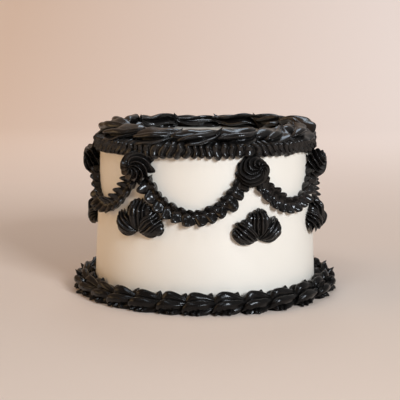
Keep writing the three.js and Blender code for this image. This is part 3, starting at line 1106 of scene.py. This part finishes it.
COAT_FINISH = CreamFinish(
    name="ivory_coat", light=(0.85, 0.80, 0.71), dark=(0.79, 0.73, 0.63), mottle_scale=14,
    contrast=0.8, roughness=(0.4, 0.52), grain_scale=700, drag_stretch=(60, 1.5, 0), drag_scale=3,
    drag=0.7, bump=0.16, specular=0.4,
)
PIPING_FINISH = CreamFinish(
    name="black_buttercream", light=(0.014, 0.0125, 0.0115), dark=(0.006, 0.0054, 0.005),
    mottle_scale=110, contrast=1.6, roughness=(0.12, 0.24), grain_scale=1100,
    drag_stretch=(1.0, 50, 0), drag_scale=4, drag=0.45, bump=0.24, specular=0.36,
)
# Painted shade: a darker copy of the same black buttercream for the foot border, standing in for
# the shade down there; it is also less glossy.
SHADED_FOOT_FINISH = replace(
    PIPING_FINISH, name="black_buttercream_foot_painted_shade", light=(0.009, 0.008, 0.0074),
    dark=(0.004, 0.0036, 0.0034), roughness=(0.16, 0.26), specular=0.2,
)


# ---- Studio

@dataclass(frozen=True)
class Lamp:
    """A soft square light, placed by azimuth, elevation and distance and aimed at the cake."""

    name: str
    azimuth: float
    elevation: float
    distance: float
    size: float
    watts: float
    colour: Colour
    aim_height: float = 0.07

    def build(self) -> None:
        """The light, in metres."""
        light = bpy.data.lights.new(self.name, "AREA")
        light.size = self.size
        light.energy = self.watts
        light.color = self.colour
        lamp = bpy.data.objects.new(self.name, light)
        azimuth, elevation = math.radians(self.azimuth), math.radians(self.elevation)
        flat = self.distance * math.cos(elevation)
        offset = Vector((flat * math.sin(azimuth), -flat * math.cos(azimuth),
                         self.distance * math.sin(elevation)))
        lamp.location = Vector((0, 0, self.aim_height)) + offset
        lamp.rotation_euler = (-offset).to_track_quat("-Z", "Y").to_euler()
        bpy.context.scene.collection.objects.link(lamp)


@dataclass
class Studio:
    """A pale floor that sweeps up behind, with painted light glowing on its far part, soft light
    and the camera; in metres.
    """

    floor_rings: Floats = (0.0005, 0.3, 1.3)
    sweep_radius: float = 1.2
    sweep_angle: float = 80
    sweep_rings: int = 40
    sides: int = 128
    floor_colour: Colour = (0.80, 0.67, 0.57)
    cloud_scale: float = 1.2
    cloud_shade: float = 0.98
    # Painted light: the colours, width and depth of the glow on the far floor and the sweep.
    glow_left: Colour = (0.30, 0.20, 0.145)
    glow_right: Colour = (0.47, 0.44, 0.44)
    glow_width: float = 0.45
    glow_depth: Range = (-0.2, 1.2)
    world_left: Colour = (0.64, 0.38, 0.21)
    world_right: Colour = (0.55, 0.52, 0.50)
    world_across: Range = (-0.9, 0.6)
    world_along: Range = (-0.95, 0.7)
    world_strength: Range = (0.27, 0.62)
    camera_place: tuple[float, float, float] = (-0.00376, -0.8407, 0.1963)
    camera_tilt: float = 81.1
    sensor_width: float = 36
    lens: float = 102.0
    lamps: tuple[Lamp, ...] = (
        Lamp("key_light", 30, 22, 1.7, 0.45, 25.5, (0.84, 0.91, 1.0)),
        Lamp("top_light", -30, 60, 1.5, 0.4, 3, (0.74, 0.87, 1.0)),
        Lamp("sky_light", 178, 48, 1.5, 0.45, 2.2, (0.70, 0.85, 1.0)),
        Lamp("warm_light", -85, 14, 1.9, 1.2, 9, (1.0, 0.68, 0.36)),
    )

    def glow(self, tree: NodeTree) -> NodeSocket:
        """Colour of painted light: the far floor and the sweep glow, brighter to the right, as a
        lit wall would be.
        """
        place = add_node(tree, "TexCoord").outputs["Object"]
        place = add_node(tree, "SeparateXYZ", {0: place}).outputs
        side = ranged(tree, place["X"], (-self.glow_width, self.glow_width))
        far = ranged(tree, place["Y"], self.glow_depth, pace="SMOOTHSTEP")
        tint = blended(tree, side, (*self.glow_left, 1), (*self.glow_right, 1))
        return blended(tree, 1.0, tint, far, "MULTIPLY")

    def floor_material(self) -> Material:
        """A matt pale finish with the faintest clouding, and painted light glowing from its far
        part.
        """
        material = bpy.data.materials.new("pale_floor")
        material.use_nodes = True
        tree = material.node_tree
        clouds = add_node(tree, "TexNoise", {"Scale": self.cloud_scale})
        ramp = add_node(tree, "ValToRGB", {0: clouds.outputs[0]})
        for element, share in zip(ramp.color_ramp.elements, (self.cloud_shade, 1.0)):
            element.color = (*(part * share for part in self.floor_colour), 1)
        # The emission is painted light: the far floor and the sweep glow though no lamp lights
        # them.
        fill(tree.nodes["Principled BSDF"], {
            "Base Color": ramp.outputs["Color"], "Roughness": 0.8, "Specular IOR Level": 0.1,
            "Emission Color": self.glow(tree), "Emission Strength": 1.0,
        })
        return material

    def surface(self, name: str, radii: Array, heights: Array, material: Material) -> Object:
        """A round surface of the studio.

        Args:
            name: Its name.
            radii: Radii of its rings.
            heights: Heights of its rings.
            material: Its finish.

        Returns:
            The object.
        """
        angle = np.linspace(0, TURN, self.sides, endpoint=False)[None, :]
        rings = around_axis(angle, radii[:, None], heights[:, None])
        faces = ring_faces(len(radii), self.sides, False)
        thing = new_object(name, rings.reshape(-1, 3), faces.tolist(), material)
        return thing

    def light_room(self) -> None:
        """A warm room that is dim in front of the cake and bright behind it."""
        world = bpy.data.worlds.new("soft_room")
        world.use_nodes = True
        tree = world.node_tree
        way = add_node(tree, "TexCoord").outputs["Generated"]
        way = add_node(tree, "SeparateXYZ", {0: way}).outputs
        side = ranged(tree, way["X"], self.world_across, pace="SMOOTHSTEP")
        fill(tree.nodes["Background"], {
            "Color": blended(tree, side, (*self.world_left, 1), (*self.world_right, 1)),
            "Strength": ranged(tree, way["Y"], self.world_along, self.world_strength, "SMOOTHSTEP"),
        })
        bpy.context.scene.world = world

    def build(self) -> None:
        """The floor, the sweep behind, the world's light, the lamps and the camera."""
        material = self.floor_material()
        rings = np.array(self.floor_rings)
        self.surface("floor", rings, np.zeros_like(rings), material)
        bend = np.radians(np.linspace(0, self.sweep_angle, self.sweep_rings))
        radii = rings[-1] + self.sweep_radius * np.sin(bend)
        heights = self.sweep_radius * (1 - np.cos(bend))
        sweep = self.surface("sweep", radii, heights, material)
        sweep.visible_diffuse = sweep.visible_glossy = sweep.visible_shadow = False
        self.light_room()
        for lamp in self.lamps:
            lamp.build()
        camera = bpy.data.cameras.new("front_camera")
        camera.lens = self.lens
        camera.sensor_width = self.sensor_width
        viewer = bpy.data.objects.new("front_camera", camera)
        viewer.location = self.camera_place
        viewer.rotation_euler = (math.radians(self.camera_tilt), 0, 0)
        bpy.context.scene.collection.objects.link(viewer)
        bpy.context.scene.camera = viewer
        bpy.context.scene.view_settings.view_transform = "Standard"


# ---- The whole cake

def main() -> None:
    """Builds the studio and the cake."""
    logging.basicConfig(level=logging.INFO, format="%(name)s: %(message)s")
    Studio().build()
    effects = Effects(mottle_group(), grain_group())
    coat = COAT_FINISH.build(effects)
    piping = PIPING_FINISH.build(effects)
    tier = Tier(coat)
    tier.build()
    TopRuffle(tier, piping).build()
    TopBorder(tier, piping).build()
    FootBorder(tier, SHADED_FOOT_FINISH.build(effects)).build()
    rosettes = Rosettes(tier, piping)
    rosettes.build()
    Swags(tier, rosettes, piping).build()
    Fleurs(tier, rosettes, piping).build()


if __name__ == "__main__":
    main()
